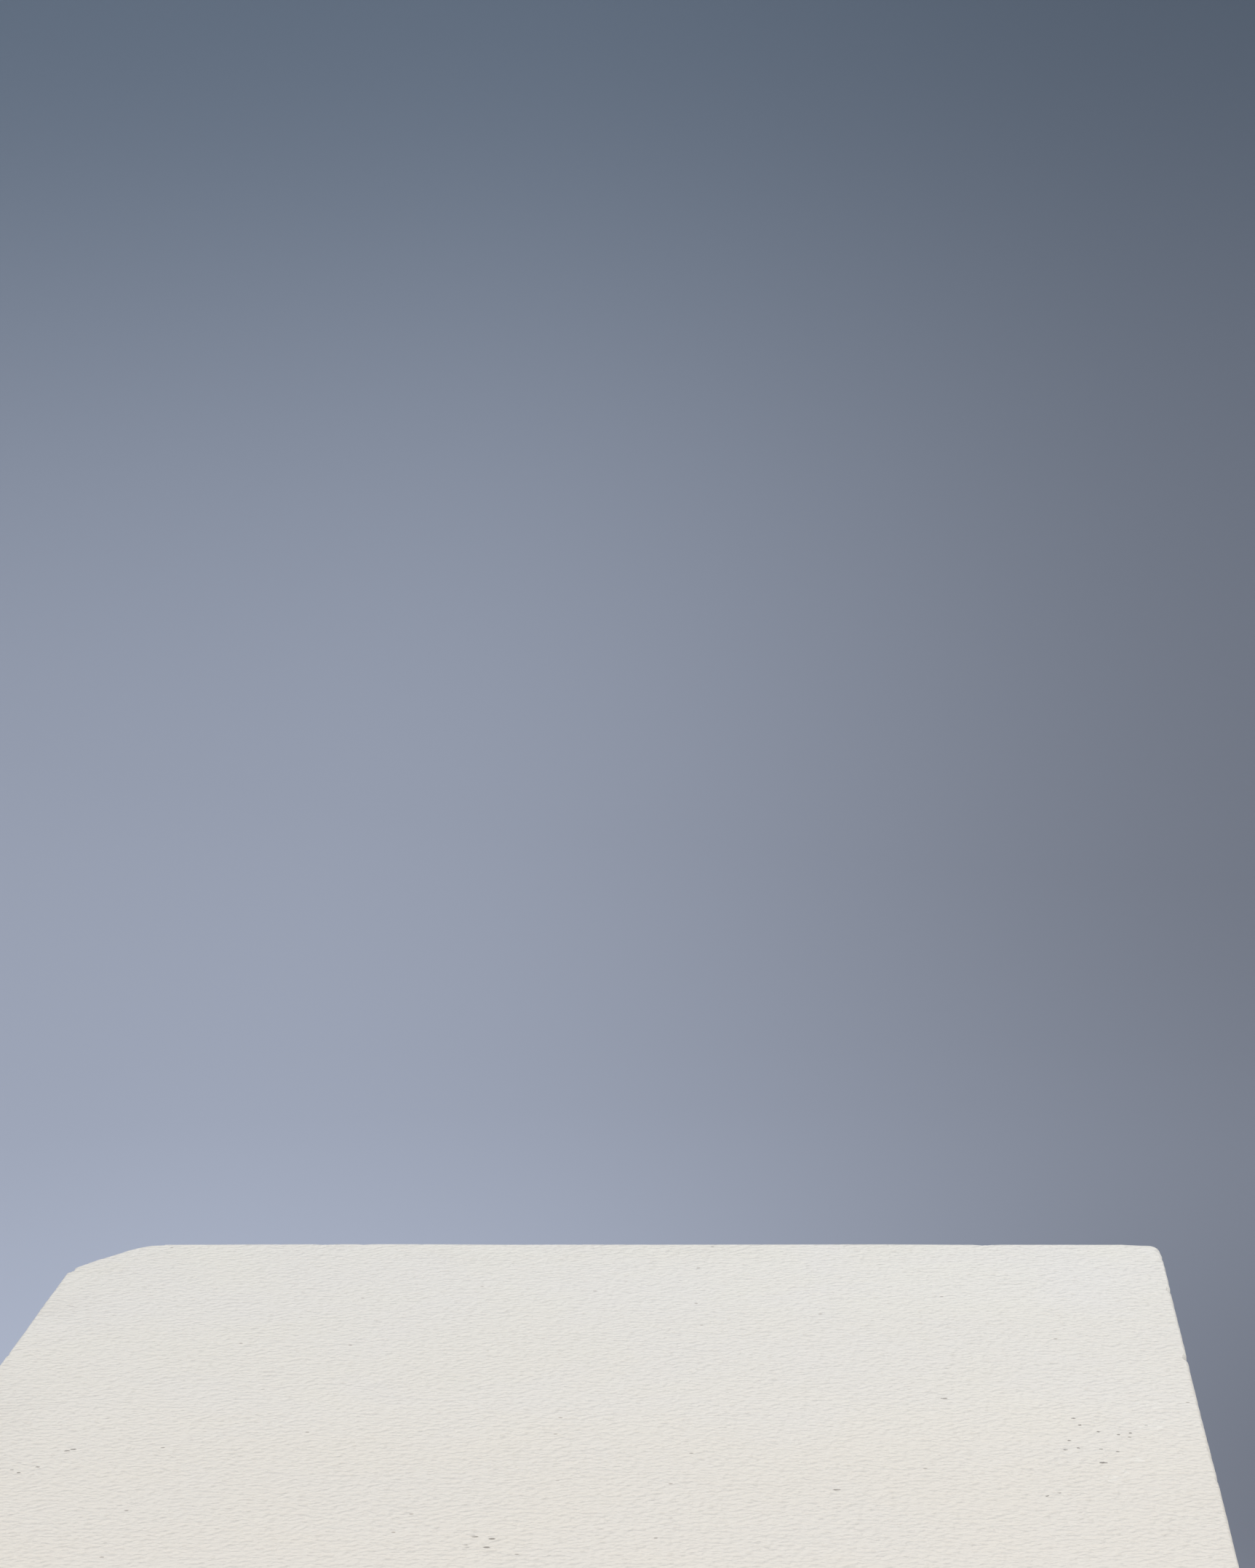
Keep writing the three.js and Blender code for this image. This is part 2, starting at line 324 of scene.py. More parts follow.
class Nicks:
    """Small knocks along edges: each pushes the points near it inwards."""

    def __init__(self, seed):
        self.chance = random.Random(seed)
        self.found = []

    def add(self, place, way, radius, depth):
        way = np.array(way, float)
        self.found.append((np.array(place), way / np.linalg.norm(way), radius, depth))

    def along(self, start, end, way, count, radii, depths):
        """Scatters nicks along a straight edge."""
        start, end = np.array(start), np.array(end)
        for _ in range(count):
            place = start + (end - start) * self.chance.random()
            radius = self.chance.uniform(*radii)
            depth = self.chance.uniform(*depths)
            self.add(place, way, radius * MM, depth * MM)

    def press(self, points):
        points = np.array(points, float)
        for place, way, radius, depth in self.found:
            near = np.linalg.norm(points - place, axis=1) / radius
            hit = near < 1
            if hit.any():
                ragged = 0.5 + hills(points[hit], 1.3 * MM, 5)
                points[hit] += way * (depth * (1 - near[hit] ** 2) * ragged)[:, None]
        return points


# ---- Material nodes ----


class Paintbox:
    """A short way to write a material's nodes. Places are the mesh's own, in metres."""

    def __init__(self, name):
        self.material = bpy.data.materials.new(name)
        self.material.use_nodes = True
        self.tree = self.material.node_tree
        self.tree.nodes.clear()
        self.output = self.tree.nodes.new("ShaderNodeOutputMaterial")
        self.place = self.tree.nodes.new("ShaderNodeTexCoord").outputs["Object"]
        split = self.tree.nodes.new("ShaderNodeSeparateXYZ")
        self.feed(split.inputs[0], self.place)
        self.x, self.y, self.z = split.outputs

    def feed(self, socket, value):
        if isinstance(value, bpy.types.NodeSocket):
            self.tree.links.new(value, socket)
        else:
            socket.default_value = value

    def node(self, kind, *inputs, **settings):
        made = self.tree.nodes.new("ShaderNode" + kind)
        for key, value in settings.items():
            setattr(made, key, value)
        for socket, value in zip(made.inputs, inputs):
            self.feed(socket, value)
        return made

    def math(self, operation, *values):
        return self.node("Math", *values, operation=operation).outputs[0]

    def add(self, *values):
        total = values[0]
        for value in values[1:]:
            total = self.math("ADD", total, value)
        return total

    def times(self, *values):
        total = values[0]
        for value in values[1:]:
            total = self.math("MULTIPLY", total, value)
        return total

    def scaled(self, x, y, z):
        """Places measured in cells of the given sizes."""
        sizes = (1 / x, 1 / y, 1 / z)
        return self.node("VectorMath", self.place, sizes, operation="MULTIPLY").outputs[0]

    def noise(self, x, y=None, z=None, detail=2.0, twist=0.0):
        """Cloudy noise from 0 to 1, in patches of the given size."""
        made = self.node("TexNoise")
        self.feed(made.inputs["Vector"], self.scaled(x, y or x, z or x))
        made.inputs["Scale"].default_value = 1
        made.inputs["Detail"].default_value = detail
        made.inputs["Distortion"].default_value = twist
        return made.outputs["Fac"]

    def between(self, value, low, high):
        """0 where value is low and 1 where it is high, with a smooth step from one to the other."""
        made = self.node("MapRange", interpolation_type="SMOOTHSTEP")
        for name, given in (("Value", value), ("From Min", low), ("From Max", high)):
            self.feed(made.inputs[name], given)
        return made.outputs["Result"]

    def mix(self, share, first, second):
        """Colour first, with the given share of colour second over it."""
        made = self.node("Mix", data_type="RGBA")
        for socket, value in zip((made.inputs[0], made.inputs[6], made.inputs[7]), (share, first, second)):
            self.feed(socket, value)
        return made.outputs[2]

    def spots(self, sheet, cell, share, radius):
        """Round spots on a flat sheet of places, in the given share of its cells."""
        cells = self.node("TexVoronoi", voronoi_dimensions="2D")
        self.feed(cells.inputs["Vector"], sheet)
        cells.inputs["Scale"].default_value = 1 / cell
        chance = self.node("SeparateColor", cells.outputs["Color"]).outputs[0]
        chosen = self.between(chance, share + 0.01, share)
        size = radius / cell
        return self.times(chosen, self.between(cells.outputs["Distance"], size, 0.5 * size))

    def bump(self, height):
        """A normal from a height in millimetres."""
        made = self.node("Bump")
        made.inputs["Distance"].default_value = MM
        self.feed(made.inputs["Height"], height)
        return made.outputs["Normal"]

    def finish(self, colour, roughness, normal, **constants):
        shader = self.node("BsdfPrincipled")
        self.feed(shader.inputs["Base Color"], colour)
        self.feed(shader.inputs["Roughness"], roughness)
        self.feed(shader.inputs["Normal"], normal)
        for name, value in constants.items():
            shader.inputs[name.replace("_", " ")].default_value = value
        self.feed(self.output.inputs["Surface"], shader.outputs[0])
        return self.material


def shade(red, green, blue):
    """A colour from sRGB numbers out of 255."""
    def linear(c):
        c /= 255
        return c / 12.92 if c <= 0.04045 else ((c + 0.055) / 1.055) ** 2.4

    return (linear(red), linear(green), linear(blue), 1)


def along(axis, length, width):
    """Cell sizes of streaks that run along an axis."""
    return tuple(length if name == axis else width for name in "xyz")


# ---- Materials ----

# Dark marks on the top face, in mm: x and y from its middle, half the length and half the width
MARKS = [
    (-176, -21, 1.5, 0.7), (-178, -22.5, 1.3, 0.6), (187, -30, 1.6, 0.9),
    (133, 35, 1.5, 0.7), (95, -57, 1.6, 0.7),
]

# Groups of small marks, in mm: x, y, how far they spread and how many there are
GROUPS = [(188, -5, 8, 12), (168, -67, 5, 2), (-187, -32, 9, 3)]

# Round patches of the top face, in mm: x, y and the radius
FLECKED = [(-19, -106, 9)]  # many dark flecks
DABS = [(189, -45, 4), (193, -40, 3), (199, -27, 3), (207, 30, 7), (206, 8, 7)]  # fresher white


def small_marks():
    """The groups' marks, scattered, in the same form as the single ones."""
    chance = random.Random(184)
    scattered = []
    for x, y, spread, count in GROUPS:
        for _ in range(count):
            place = (chance.gauss(x, spread), chance.gauss(y, spread))
            scattered.append((*place, chance.uniform(0.7, 1.0), chance.uniform(0.4, 0.7)))
    return scattered


def marks(p):
    """1 on the dark marks of the top face and 0 elsewhere."""
    share = 0.0
    ragged = p.times(p.add(p.noise(0.8 * MM, detail=2), -0.5), 1.6)
    for x, y, long, wide in MARKS + small_marks():
        offset = p.node("VectorMath", p.place, (x * MM, y * MM, TOP), operation="SUBTRACT").outputs[0]
        sizes = (1 / (long * MM), 1 / (wide * MM), 1 / MM)
        offset = p.node("VectorMath", offset, sizes, operation="MULTIPLY").outputs[0]
        away = p.node("VectorMath", offset, operation="LENGTH").outputs["Value"]
        share = p.math("MAXIMUM", share, p.between(p.add(away, ragged), 1.0, 0.6))
    return share


def patches(p, places):
    """1 in round patches of the top face and 0 elsewhere."""
    share = 0.0
    for x, y, radius in places:
        spot = (x * MM, y * MM, TOP)
        away = p.node("VectorMath", p.place, spot, operation="DISTANCE").outputs["Value"]
        share = p.math("MAXIMUM", share, p.between(away, radius * MM, 0.6 * radius * MM))
    return share


def edge_distance(p):
    """How far a painted place is from the box's nearest edge: the second smallest distance to a face."""
    from_x = p.math("SUBTRACT", HALF, p.math("ABSOLUTE", p.x))
    from_y = p.math("SUBTRACT", HALF, p.math("ABSOLUTE", p.y))
    from_top = p.math("SUBTRACT", TOP, p.z)
    nearer, further = p.math("MINIMUM", from_x, from_y), p.math("MAXIMUM", from_x, from_y)
    return p.math("MAXIMUM", nearer, p.math("MINIMUM", further, from_top))


def ply_lines(p):
    """The layers of plywood that show through the paint on the boards' edges, as a height."""
    on_top_board = p.between(p.z, TOP_UNDERSIDE - MM, TOP_UNDERSIDE)
    below_arris = p.between(p.z, TOP - ARRIS, TOP - 2 * ARRIS)
    across_z = p.times(on_top_board, below_arris, p.math("SINE", p.times(p.z, PLY_TURN)))
    on_end = p.times(
        p.between(p.math("ABSOLUTE", p.x), HALF - 2 * MM, HALF - 1 * MM),
        p.between(p.math("ABSOLUTE", p.y), INNER - MM, INNER),
        p.between(p.z, WALL_TOP, WALL_TOP - MM),
    )
    across_y = p.times(on_end, p.math("SINE", p.times(p.y, PLY_TURN)))
    return p.add(across_z, across_y)


def edge_wear(p, low):
    """Where the edges' paint is rubbed thin, more so low down, and where hands have soiled it."""
    edge = edge_distance(p)
    ragged = p.add(edge, p.times(p.add(p.noise(3 * MM, detail=3), -0.5), 5 * MM))
    worn_here = p.between(p.add(p.noise(26 * MM, detail=2), p.times(low, 0.10)), 0.52, 0.66)
    rubbed = p.times(p.between(ragged, 2.4 * MM, 0.4 * MM), worn_here)
    patchy = p.between(p.noise(38 * MM, detail=3), 0.42, 0.72)
    return rubbed, p.times(p.between(edge, 40 * MM, 0), patchy)


def floor_dirt(p):
    """Kicks and mop splashes low on the walls, and dust at their foot."""
    streaks = p.noise(120 * MM, 120 * MM, 8 * MM, detail=4, twist=0.5)
    skipped = p.noise(14 * MM, 14 * MM, 0.9 * MM, detail=2)
    kicked = p.between(p.noise(140 * MM, detail=1), 0.50, 0.64)
    scuffs = p.times(
        p.between(p.z, 200 * MM, 40 * MM),
        kicked,
        p.between(streaks, 0.56, 0.72),
        p.between(skipped, 0.35, 0.65),
    )
    dust = p.times(p.between(p.z, 45 * MM, 8 * MM), p.noise(25 * MM, detail=3))
    return scuffs, dust


def paint(name, grain):
    """White emulsion, rolled over plywood whose grain runs along the given axis."""
    p = Paintbox(name)
    if grain == "x":
        across, up = p.times(p.add(p.x, p.z), 0.6), p.add(p.y, p.z)
    else:
        across, up = p.add(p.x, p.y), p.times(p.z, 0.6)
    sheet = p.node("CombineXYZ", across, up, 0.0).outputs[0]

    stipple = p.noise(*along(grain, 1.25 * STIPPLE, STIPPLE), detail=1.5)
    peel = p.noise(4.5 * MM, detail=2)
    fibres = p.noise(*along(grain, 14 * MM, 1.1 * MM), detail=2)
    sags = p.noise(*along(grain, 70 * MM, 22 * MM), detail=2)
    laps = p.noise(*along(grain, 900 * MM, 170 * MM), detail=1)
    clouds = p.noise(55 * MM, detail=3, twist=0.6)

    pinholes = p.spots(sheet, 8 * MM, 0.25, 0.55 * MM)
    specks = p.spots(sheet, 27 * MM, 0.20, 0.6 * MM)
    dirt = p.times(patches(p, FLECKED), p.spots(sheet, 4.2 * MM, 0.55, 0.9 * MM))
    flecks = p.math("MAXIMUM", marks(p), dirt)
    dabs = p.times(patches(p, DABS), p.between(p.noise(2.2 * MM, detail=2), 0.48, 0.56))

    low = p.between(p.z, 260 * MM, 20 * MM)
    rubbed, handled = edge_wear(p, low)
    scuffs, dust = floor_dirt(p)
    chipped = p.between(p.node("Attribute", attribute_name=CHIP).outputs["Fac"], 0.35, 0.55)

    # painted warm light: the paint is a little yellower to the front, standing in for warmer light falling
    # there
    cloudy = p.between(clouds, 0.30, 0.72)
    cool_lit_back = p.mix(cloudy, shade(238, 236, 231), shade(239, 237, 229))
    warm_lit_front = p.mix(cloudy, shade(236, 231, 222), shade(237, 231, 220))
    colour = p.mix(p.between(p.y, 190 * MM, -110 * MM), cool_lit_back, warm_lit_front)
    over = (
        (p.between(laps, 0.35, 0.65), 0.40, (233, 229, 221)),
        (fibres, 0.08, (206, 200, 186)),
        # painted shade: the low hollows of the roller stipple are darkened, as shade falls in them
        (p.between(stipple, 0.42, 0.25), 0.25, (205, 199, 188)),
        # painted shade: the pinholes are bumped in as pits and their colour is darkened, as shade falls in
        # them
        (pinholes, 0.18, (150, 143, 132)),
        (handled, 0.10, (196, 187, 170)),
        (rubbed, p.add(0.2, p.times(low, 0.4)), (214, 205, 188)),
        (chipped, 0.85, (196, 168, 130)),
        (dust, 0.30, (168, 161, 148)),
        (scuffs, 0.42, (104, 101, 98)),
        (specks, 0.55, (112, 92, 78)),
        (flecks, 0.74, (92, 82, 72)),
        (dabs, 0.45, (246, 244, 236)),
    )
    for share, strength, tone in over:
        colour = p.mix(p.times(share, strength), colour, shade(*tone))

    roughness = p.add(0.58, p.times(peel, 0.16), p.times(rubbed, 0.12), p.times(handled, -0.08))
    height = p.add(
        p.times(stipple, 1.0),
        p.times(peel, 0.16),
        p.times(sags, 0.35),
        p.times(fibres, 0.03),
        p.times(pinholes, -0.05),
        p.times(ply_lines(p), 0.012),
        p.times(flecks, 0.05),
    )
    return p.finish(colour, roughness, p.bump(height))


def plywood(name, grain, thickness):
    """Bare birch plywood. Its layers lie across the thickness axis."""
    p = Paintbox(name)
    figure = p.noise(*along(grain, 260 * MM, 34 * MM), detail=3, twist=1.4)
    bands = p.math("SINE", p.times(figure, 58))
    fibres = p.noise(*along(grain, 30 * MM, 0.7 * MM), detail=3)
    depth = {"x": p.x, "y": p.y, "z": p.z}[thickness]
    plies = p.math("SINE", p.times(depth, 2 * math.pi / (2.9 * MM)))
    colour = p.mix(p.between(bands, -1, 1), shade(222, 192, 150), shade(203, 168, 122))
    colour = p.mix(p.times(fibres, 0.55), colour, shade(176, 138, 94))
    colour = p.mix(p.times(p.between(plies, 0.1, 0.6), 0.35), colour, shade(150, 108, 70))
    height = p.add(p.times(fibres, 0.12), p.times(plies, 0.05))
    return p.finish(colour, p.add(0.66, p.times(fibres, 0.16)), p.bump(height))


def softwood(name, grain):
    """Planed spruce, its growth rings drawn round a pith that lies well outside the timber."""
    p = Paintbox(name)
    drift = p.times(p.noise(*along(grain, 340 * MM, 60 * MM), detail=2), 26 * MM)
    sideways = p.node("CombineXYZ", drift, drift, drift).outputs[0]
    wander = p.node("VectorMath", p.place, sideways, operation="ADD").outputs[0]
    parts = p.node("SeparateXYZ", wander).outputs
    first, second = [part for axis, part in zip("xyz", parts) if axis != grain]
    first = p.math("POWER", p.add(first, 310 * MM), 2.0)
    second = p.math("POWER", p.add(second, 170 * MM), 2.0)
    from_pith = p.math("SQRT", p.add(first, second))
    rings = p.math("FRACT", p.times(from_pith, 1 / (3.4 * MM)))
    late = p.times(p.between(rings, 0.35, 0.9), p.between(rings, 1.0, 0.93))
    fibres = p.noise(*along(grain, 22 * MM, 0.5 * MM), detail=3)
    stains = p.noise(*along(grain, 120 * MM, 30 * MM), detail=2)
    colour = p.mix(late, shade(226, 194, 146), shade(186, 134, 82))
    colour = p.mix(p.times(fibres, 0.40), colour, shade(196, 156, 104))
    colour = p.mix(p.times(p.between(stains, 0.55, 0.75), 0.3), colour, shade(172, 132, 88))
    height = p.add(p.times(late, 0.05), p.times(fibres, 0.10))
    return p.finish(colour, p.add(0.60, p.times(fibres, 0.18)), p.bump(height))


def beech():
    """Beech, with the short darker flecks of its rays."""
    p = Paintbox("beech")
    fibres = p.noise(*along("y", 30 * MM, 0.6 * MM), detail=3)
    rays = p.between(p.noise(*along("y", 2.8 * MM, 0.55 * MM), detail=1), 0.60, 0.70)
    tone = p.noise(*along("y", 90 * MM, 14 * MM), detail=2)
    colour = p.mix(tone, shade(216, 180, 138), shade(196, 154, 112))
    colour = p.mix(p.times(fibres, 0.45), colour, shade(168, 122, 82))
    colour = p.mix(p.times(rays, 0.75), colour, shade(138, 92, 60))
    height = p.add(p.times(fibres, 0.08), p.times(rays, -0.03))
    return p.finish(colour, p.add(0.50, p.times(fibres, 0.2)), p.bump(height))


def zinc():
    """Zinc plate, a little dulled, with faint bluish and yellowish clouds."""
    p = Paintbox("zinc")
    clouds = p.noise(7 * MM, detail=3, twist=0.5)
    dull = p.between(p.noise(2.2 * MM, detail=3), 0.45, 0.70)
    colour = p.mix(clouds, shade(176, 182, 190), shade(196, 190, 172))
    colour = p.mix(p.times(dull, 0.35), colour, shade(140, 142, 142))
    roughness = p.add(0.26, p.times(dull, 0.24))
    return p.finish(colour, roughness, p.bump(p.times(p.noise(0.5 * MM), 0.012)), Metallic=1.0)


def nylon():
    """Black moulded nylon with a fine spark-eroded grain and grey floor dust."""
    p = Paintbox("black_nylon")
    grain = p.noise(0.45 * MM, detail=2)
    dust = p.times(p.between(p.noise(5 * MM, detail=3), 0.45, 0.75), p.between(p.z, 7 * MM, 0.5 * MM))
    scratches = p.between(p.noise(9 * MM, 0.5 * MM, 0.5 * MM, detail=1), 0.68, 0.74)
    colour = p.mix(p.times(grain, 0.5), shade(30, 31, 33), shade(44, 45, 47))
    colour = p.mix(p.times(dust, 0.4), colour, shade(120, 116, 108))
    colour = p.mix(p.times(scratches, 0.5), colour, shade(84, 84, 84))
    roughness = p.add(0.40, p.times(grain, 0.14), p.times(dust, 0.3))
    return p.finish(colour, roughness, p.bump(p.times(grain, 0.03)))


PAINT = {axis: paint("white_paint_" + axis, axis) for axis in "xz"}
PLY = {
    "top": plywood("plywood_top", "x", "z"),
    "front": plywood("plywood_front", "z", "y"),
    "side": plywood("plywood_side", "z", "x"),
}
SOFTWOOD = {axis: softwood("softwood_" + axis, axis) for axis in "xyz"}
BEECH = beech()
ZINC = zinc()
NYLON = nylon()


# ---- Skin ----


def top_outline(z):
    """The top's outline at a height."""
    flat = HALF - CORNER_RADIUS
    start = -HALF + KNOCK_REACH
    return np.vstack(
        [
            run((-flat, -HALF), (flat, -HALF), EDGE_STEP),
            turn((flat, -flat), CORNER_RADIUS, 270, 12),
            run((HALF, -flat), (HALF, flat), EDGE_STEP),
            turn((flat, flat), CORNER_RADIUS, 0, 12),
            run((flat, HALF), (start, HALF), EDGE_STEP),
            knocked_run(z, torn((0, 0, 1)))[:-1],
            run((-HALF, -start), (-HALF, -flat), EDGE_STEP),
            turn((-flat, -flat), CORNER_RADIUS, 180, 12),
        ]
    )


def worn(ring, z, most):
    """A ring at height z, moved inwards a little, where hand sanding has left the edge wavy."""
    points = at_height(ring, z)
    depth = (0.6 * hills(points, 38 * MM, 8) + 0.4 * hills(points, 7 * MM, 9)) * most
    return at_height(inset(ring, depth), z)


def top_nicks():
    """Knocks along the top's edges: (x, y) are the ends of each edge, in half sides."""
    nicks = Nicks(11)
    edges = [((1, -1), (1, 1)), ((1, 1), (-0.7, 1)), ((-1, 0.7), (-1, -1)), ((-1, -1), (1, -1))]
    for (x0, y0), (x1, y1) in edges:
        way = (-(x0 + x1), -(y0 + y1), -1.2)
        start, end = (x0 * HALF, y0 * HALF, TOP), (x1 * HALF, y1 * HALF, TOP)
        nicks.along(start, end, way, 16, (0.8, 2.4), (0.15, 0.5))
        nicks.along(start, end, way, 3, (2.5, 4.5), (0.5, 1.1))
    # the ones that can be told apart: on the right edge, on the left one, and by the break
    nicks.add((HALF, 164 * MM, TOP), (-1, 0, -1), 3.4 * MM, 0.9 * MM)
    nicks.add((HALF, 82 * MM, TOP), (-1, 0, -1), 4.2 * MM, 1.2 * MM)
    nicks.add((-HALF, 32 * MM, TOP), (1, 0, -1), 5.0 * MM, 1.5 * MM)
    nicks.add((-HALF + 1 * MM, 189 * MM, TOP), (1, -0.4, -1), 3.0 * MM, 1.4 * MM)
    return nicks


def top_face(rim):
    """Points inside the rim and the triangles between them and it, with a few shallow dents."""
    chance = random.Random(4)
    dents = [
        (chance.uniform(-0.9, 0.9) * HALF, chance.uniform(-0.9, 0.9) * HALF,
         chance.uniform(2.5, 6) * MM, chance.uniform(0.15, 0.4) * MM)
        for _ in range(12)
    ]
    room = HALF - 8 * MM
    steps = np.arange(-room, room, 14 * MM)
    inside = [(x, y) for x in steps for y in steps]
    for x, y, radius, _ in dents:
        if max(abs(x), abs(y)) < room - radius:
            for ring in (0.2, 0.4, 0.6, 0.8, 1.0):
                inside += [tuple(p) for p in np.array((x, y)) + circle(ring * radius, 14)]
    knock = KNOCK_REACH - 4 * MM
    inside = [(x, y) for x, y in inside if not (x < -HALF + knock and y > HALF - knock)]
    flat = [Vector(p[:2]) for p in rim] + [Vector(p) for p in inside]
    loop = [(i, (i + 1) % len(rim)) for i in range(len(rim))]
    made = geometry.delaunay_2d_cdt(flat, loop, [], 1, 1e-7)
    points, faces = made[0], made[2]
    places = np.array([(p.x, p.y, TOP) for p in points[len(rim):]])
    for x, y, radius, depth in dents:
        near = np.linalg.norm(places[:, :2] - (x, y), axis=1) / radius
        places[:, 2] -= depth * np.clip(1 - near**2, 0, 1) ** 1.5
    return places, [tuple(face) for face in faces]


def top_arris(outline):
    """How far the upper edge is rounded at each point of the outline."""
    rough = ARRIS * (0.65 + 0.3 * ripple(at_height(outline, TOP), 45 * MM, 6))
    # the corners have taken more knocks, and the break was filled and painted over
    from_corner = np.linalg.norm(np.abs(outline) - HALF, axis=1)
    from_break = np.linalg.norm(outline - (-HALF, HALF), axis=1) - KNOCK_REACH
    rough += 0.9 * ARRIS * np.clip(2 - from_corner / (8 * MM), 0, 1)
    rough += 0.2 * ARRIS * np.clip(1 - from_break / (12 * MM), 0, 1)
    return rough


def top_rings():
    """The top's outlines, from its underside up to the rim of its upper face."""
    levels = [(TOP_UNDERSIDE, SEAM_ARRIS), (TOP_UNDERSIDE + SEAM_ARRIS, 0)]
    levels += [(z, 0) for z in np.arange(TOP_UNDERSIDE + 1.5 * MM, TOP - 3 * MM, 1.4 * MM)]
    rings = [worn(inset(top_outline(z), in_by), z, WAVINESS) for z, in_by in levels]
    arris = top_arris(top_outline(TOP))
    outline = top_outline(TOP - ARRIS)
    for angle in np.radians(np.linspace(0, 90, 8)):
        z = TOP - arris * (1 - math.sin(angle))
        ring = inset(outline, arris * (1 - math.cos(angle)))
        rings.append(worn(ring, z, WAVINESS * math.cos(angle)))
    return rings


def top_panel():
    """The top: a slab with a hand-sanded upper edge, nicks along it, and the knocked corner."""
    rings = top_rings()
    points, faces = loft(rings)
    faces.pop()  # the upper cap is the top face
    points = top_nicks().press(points)
    rim = len(points) - len(rings[-1])
    points[rim:, 2] = TOP
    places, triangles = top_face(points[rim:])
    faces += [tuple(i + rim for i in face) for face in triangles]
    points = np.vstack([points, places])

    def side(normal, middle):
        return 1 if normal.z < -0.8 and middle.z < TOP_UNDERSIDE + 0.1 * MM else 0

    made = make("plinth_top", points, faces, [PAINT["x"], PLY["top"]], side)
    flat_normals(made)
    stand_in(made, "top_panel", "root")


def upright_nicks(signs, seed):
    """Knocks down an upright corner, most of them low, where feet and trolleys hit it."""
    nicks = Nicks(seed)
    x, y = signs
    way = (-x, -y, 0)
    spot = (x * HALF, y * HALF)
    nicks.along((*spot, 20 * MM), (*spot, 960 * MM), way, 14, (1.5, 4), (0.8, 2.2))
    nicks.along((*spot, 12 * MM), (*spot, 200 * MM), way, 7, (2, 7), (1.6, 3.0))
    return nicks


def wall_levels(fine):
    """Heights of a wall's rings, closer together down to the given height."""
    z = [WALL_BOTTOM, WALL_BOTTOM + SEAM_ARRIS]
    z += list(np.arange(WALL_BOTTOM + 2 * MM, fine, 1.8 * MM))
    z += list(np.arange(fine, WALL_TOP - 2 * SEAM_ARRIS, 1.2 * MM))
    return z + [WALL_TOP - SEAM_ARRIS, WALL_TOP]


def build_wall(name, node, outline_at, levels, nicks, raw):
    """A wall as a stack of outlines. Outside it is painted, inside and underneath it is bare."""
    rings = []
    for z in levels:
        end = z in (WALL_BOTTOM, WALL_TOP)
        ring = inset(outline_at(z), SEAM_ARRIS if end else 0)
        outside = np.abs(ring).max(axis=1) > HALF - 3 * MM
        rings.append(worn(ring, z, np.where(outside, WAVINESS, 0)))
    smooth, faces = loft(rings)
    points = smooth
    for each in nicks:
        points = each.press(points)
    chips = np.linalg.norm(points - smooth, axis=1) / MM

    def side(normal, middle):
        level = abs(normal.z) > 0.8
        inward = normal.x * middle.x + normal.y * middle.y < 0
        seam = abs(normal.y) > 0.9 and abs(abs(middle.y) - SIDE_END) < SEAM_ARRIS
        return 1 if level or inward or seam else 0

    made = make(name, points, faces, [PAINT["z"], raw], side, chips=chips)
    flat_normals(made)
    stand_in(made, node, "root")


def seam_corner(x, y, before, after):
    """The two points of a slightly eased corner, from the ways the outline takes before and after it."""
    s = SEAM_ARRIS
    return np.array([(x - before[0] * s, y - before[1] * s), (x + after[0] * s, y + after[1] * s)])


# Each wall's outline takes a height, because the two walls at the knocked corner change with it.


def front_outline(_z):
    flat = HALF - CORNER_RADIUS
    return np.vstack(
        [
            seam_corner(-HALF, -INNER, (-1, 0), (0, -1)),
            turn((-flat, -flat), CORNER_RADIUS, 180, 10),
            run((-flat, -HALF), (flat, -HALF), 40 * MM),
            turn((flat, -flat), CORNER_RADIUS, 270, 10),
            seam_corner(HALF, -INNER, (0, 1), (-1, 0)),
        ]
    )


def right_outline(_z):
    return np.vstack(
        [
            seam_corner(INNER, -SIDE_END, (0, -1), (1, 0)),
            seam_corner(HALF, -SIDE_END, (1, 0), (0, 1)),
            run((HALF, -SIDE_END + 2 * SEAM_ARRIS), (HALF, SIDE_END - 2 * SEAM_ARRIS), 40 * MM),
            seam_corner(HALF, SIDE_END, (0, 1), (-1, 0)),
            seam_corner(INNER, SIDE_END, (-1, 0), (0, -1)),
        ]
    )


def crossing(line, y):
    """Where a line that runs towards -Y passes a given y."""
    return (np.interp(-y, -line[:, 1], line[:, 0]), y)


def back_outline(z):
    flat = HALF - CORNER_RADIUS
    line = knocked_run(z, torn((0, 1, 0)))
    stop = INNER + SEAM_ARRIS
    end = resampled(np.vstack([line[line[:, 1] > stop], crossing(line, stop)]), 90)
    return np.vstack(
        [
            seam_corner(HALF, INNER, (1, 0), (0, 1)),
            turn((flat, flat), CORNER_RADIUS, 0, 10),
            run((flat, HALF), (-HALF + KNOCK_REACH, HALF), 40 * MM),
            end,
            [(end[-1, 0] + SEAM_ARRIS, INNER)],
        ]
    )


def left_outline(z):
    line = knocked_run(z, torn((1, 0, 0)))
    stop = SIDE_END - SEAM_ARRIS
    end = resampled(np.vstack([crossing(line, stop), line[line[:, 1] < stop]]), 60)
    return np.vstack(
        [
            seam_corner(-INNER, SIDE_END, (0, 1), (-1, 0)),
            [(end[0, 0] + SEAM_ARRIS, SIDE_END)],
            end,
            run((-HALF, end[-1, 1] - 2 * MM), (-HALF, -SIDE_END + 2 * SEAM_ARRIS), 40 * MM),
            seam_corner(-HALF, -SIDE_END, (0, -1), (1, 0)),
            seam_corner(-INNER, -SIDE_END, (1, 0), (0, 1)),
        ]
    )


